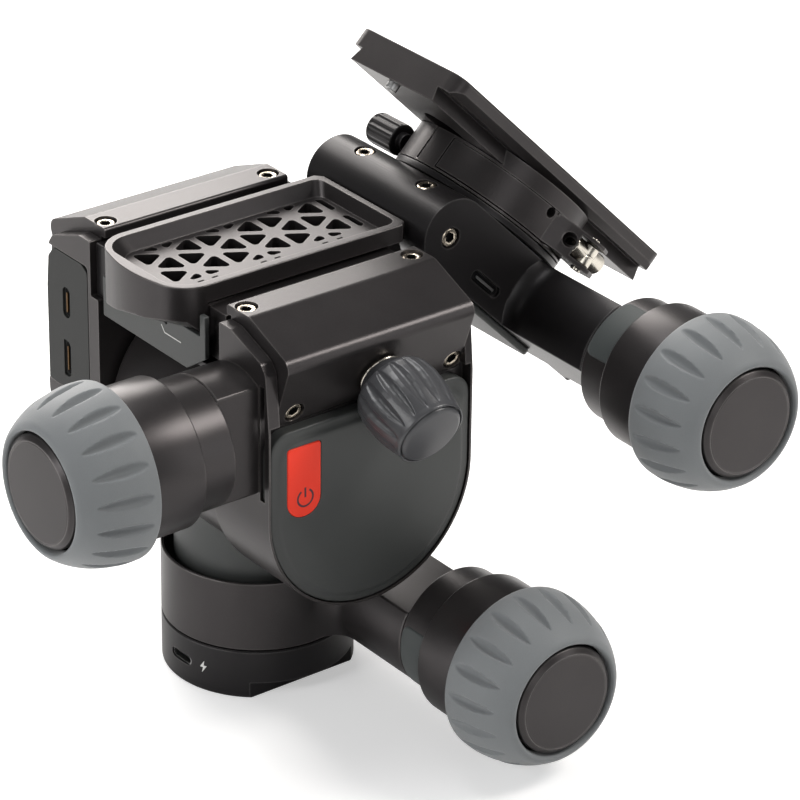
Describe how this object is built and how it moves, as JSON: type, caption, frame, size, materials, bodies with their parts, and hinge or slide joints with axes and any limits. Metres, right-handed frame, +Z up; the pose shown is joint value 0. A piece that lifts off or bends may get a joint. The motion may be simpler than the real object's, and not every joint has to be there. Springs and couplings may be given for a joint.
{
  "type": "star tracker mount",
  "caption": "Motorised pan and tilt mount head with a 45 degree third-axis rotator, worm drives with rubber hand knobs and a dovetail camera plate.",
  "frame": {"origin": "centre of the tripod socket's mouth on the base underside", "axes": "+Z up the pan axis, +X along the tilt axis towards the pan hand knob, -Y the front where the tilt hand knob points"},
  "size_m": [0.1708, 0.2309, 0.1769],
  "materials": {
    "anodised": "bead-blasted hard anodised aluminium, warm charcoal",
    "steel": "machined stainless steel",
    "bright": "bright plated screws and barrel",
    "bronze": "cut bronze worm wheel",
    "shell_plastic": "fine textured dark grey moulded plastic",
    "black_plastic": "satin black moulded knob",
    "grip_rubber": "soft grey moulded rubber",
    "red_button": "soft-touch orange red button",
    "motor_can": "gear motor can",
    "battery_wrap": "shrink-wrapped cell pack"
  },
  "bodies": {
    "base": {"base_housing": "anodised", "tripod_plate": "steel", "tripod_bushing": "steel", "plate_screws": "steel", "charge_port": "steel", "pan_spindle": "steel", "pan_wheel": "bronze"},
    "pan_body": {"pan_housing": "anodised", "pan_bearings": "steel", "pan_gear_motor": "motor_can", "neck_shell": "shell_plastic", "battery_pack": "battery_wrap", "tilt_spindle": "steel", "left_pivot": "steel", "tilt_wheel": "bronze"},
    "pan_knob": {"pan_worm_shaft": "steel", "pan_knob_hub": "anodised", "pan_knob_grip": "grip_rubber"},
    "pan_clutch": {"pan_clutch_collar": "anodised", "pan_index_patch": "grip_rubber"},
    "yoke": {"yoke_right": "anodised", "yoke_left": "anodised", "bridge": "anodised", "status_panel": "shell_plastic", "side_cover_right": "shell_plastic", "side_cover_left": "shell_plastic", "cap_right": "anodised", "cap_left": "anodised", "cap_screws": "bright", "port_panel": "shell_plastic", "tilt_bearings": "steel", "tilt_gear_motor": "motor_can"},
    "tilt_knob": {"tilt_worm_shaft": "steel", "tilt_knob_hub": "anodised", "tilt_knob_grip": "grip_rubber"},
    "tilt_clutch": {"tilt_clutch_collar": "anodised", "tilt_index_patch": "grip_rubber"},
    "jaw": {"jaw_bar": "anodised"},
    "jaw_knob": {"jaw_knob": "black_plastic", "jaw_screw": "steel"},
    "power_button": {"power_button": "red_button"},
    "astro_module": {"tray": "anodised", "astro_housing": "anodised", "astro_bottom_cover": "shell_plastic", "astro_bearings": "steel", "astro_screws": "bright", "astro_gear_motor": "motor_can"},
    "astro_knob": {"astro_worm_shaft": "steel", "astro_knob_hub": "anodised", "astro_knob_grip": "grip_rubber"},
    "astro_clutch": {"astro_clutch_collar": "anodised", "astro_index_patch": "grip_rubber"},
    "camera_clamp": {"clamp_rotor": "anodised", "astro_wheel": "bronze", "clamp_body": "anodised", "lever_barrel": "bright"},
    "cam_lever": {"cam_lever": "anodised"},
    "lock_knob": {"lock_knob": "black_plastic"},
    "camera_plate": {"camera_plate": "anodised"},
    "camera_screw": {"camera_screw": "steel"}
  },
  "joints": [
    {"name": "pan", "type": "hinge", "parent": "base", "child": "pan_body", "pos_m": [0, 0, 0.0279], "axis": [0, 0, 1], "continuous": true},
    {"name": "pan_knob_spin", "type": "hinge", "parent": "pan_body", "child": "pan_knob", "pos_m": [0, 0.0242, 0.0279], "axis": [1, 0, 0], "continuous": true},
    {"name": "pan_clutch_turn", "type": "hinge", "parent": "pan_body", "child": "pan_clutch", "pos_m": [0.067, 0.0242, 0.0279], "axis": [1, 0, 0], "range_deg": [0, 60]},
    {"name": "tilt", "type": "hinge", "parent": "pan_body", "child": "yoke", "pos_m": [0.04, 0, 0.077], "axis": [1, 0, 0], "range_deg": [-40, 60]},
    {"name": "tilt_knob_spin", "type": "hinge", "parent": "yoke", "child": "tilt_knob", "pos_m": [0.04, 0, 0.1012], "axis": [0, -1, 0], "range_deg": [-1440, 2160]},
    {"name": "tilt_clutch_turn", "type": "hinge", "parent": "yoke", "child": "tilt_clutch", "pos_m": [0.04, -0.054, 0.1012], "axis": [0, -1, 0], "range_deg": [0, 60]},
    {"name": "jaw_knob_spin", "type": "hinge", "parent": "yoke", "child": "jaw_knob", "pos_m": [0.05443, 0.0024, 0.1124], "axis": [0.9335, 0, -0.3586], "range_deg": [0, 901]},
    {"name": "jaw_slide", "type": "slide", "parent": "yoke", "child": "jaw", "axis": [0.9335, 0, -0.3586], "range_m": [0, 0.0025]},
    {"name": "power_press", "type": "slide", "parent": "yoke", "child": "power_button", "axis": [-1, 0, 0], "range_m": [0, 0.0006]},
    {"name": "rail_slide", "type": "slide", "parent": "yoke", "child": "astro_module", "axis": [0, 1, 0], "range_m": [-0.003, 0.03]},
    {"name": "astro_roll", "type": "hinge", "parent": "astro_module", "child": "camera_clamp", "pos_m": [0, 0.07029, 0.11158], "axis": [0, 0.7071, 0.7071], "continuous": true},
    {"name": "astro_knob_spin", "type": "hinge", "parent": "astro_module", "child": "astro_knob", "pos_m": [0, 0.0874, 0.09447], "axis": [1, 0, 0], "continuous": true},
    {"name": "astro_clutch_turn", "type": "hinge", "parent": "astro_module", "child": "astro_clutch", "pos_m": [0.067, 0.0874, 0.09447], "axis": [1, 0, 0], "range_deg": [0, 60]},
    {"name": "lever_swing", "type": "hinge", "parent": "camera_clamp", "child": "cam_lever", "pos_m": [0.031, 0.09468, 0.11377], "axis": [0, 0.7071, 0.7071], "range_deg": [0, 90]},
    {"name": "lock_knob_spin", "type": "hinge", "parent": "camera_clamp", "child": "lock_knob", "pos_m": [-0.0241, 0.07, 0.13647], "axis": [-1, 0, 0], "range_deg": [0, 360]},
    {"name": "plate_slide", "type": "slide", "parent": "camera_clamp", "child": "camera_plate", "axis": [0, 0.7071, -0.7071], "range_m": [-0.02, 0.02]},
    {"name": "camera_screw_spin", "type": "hinge", "parent": "camera_plate", "child": "camera_screw", "pos_m": [0, 0.08867, 0.12997], "axis": [0, 0.7071, 0.7071], "continuous": true}
  ],
  "couplings": [
    {"joint": "pan_knob_spin", "follows": "pan", "ratio": -36},
    {"joint": "tilt_knob_spin", "follows": "tilt", "ratio": 36},
    {"joint": "astro_knob_spin", "follows": "astro_roll", "ratio": 36},
    {"joint": "jaw_knob_spin", "follows": "jaw_slide", "rad_per_m": 6283.2}
  ]
}
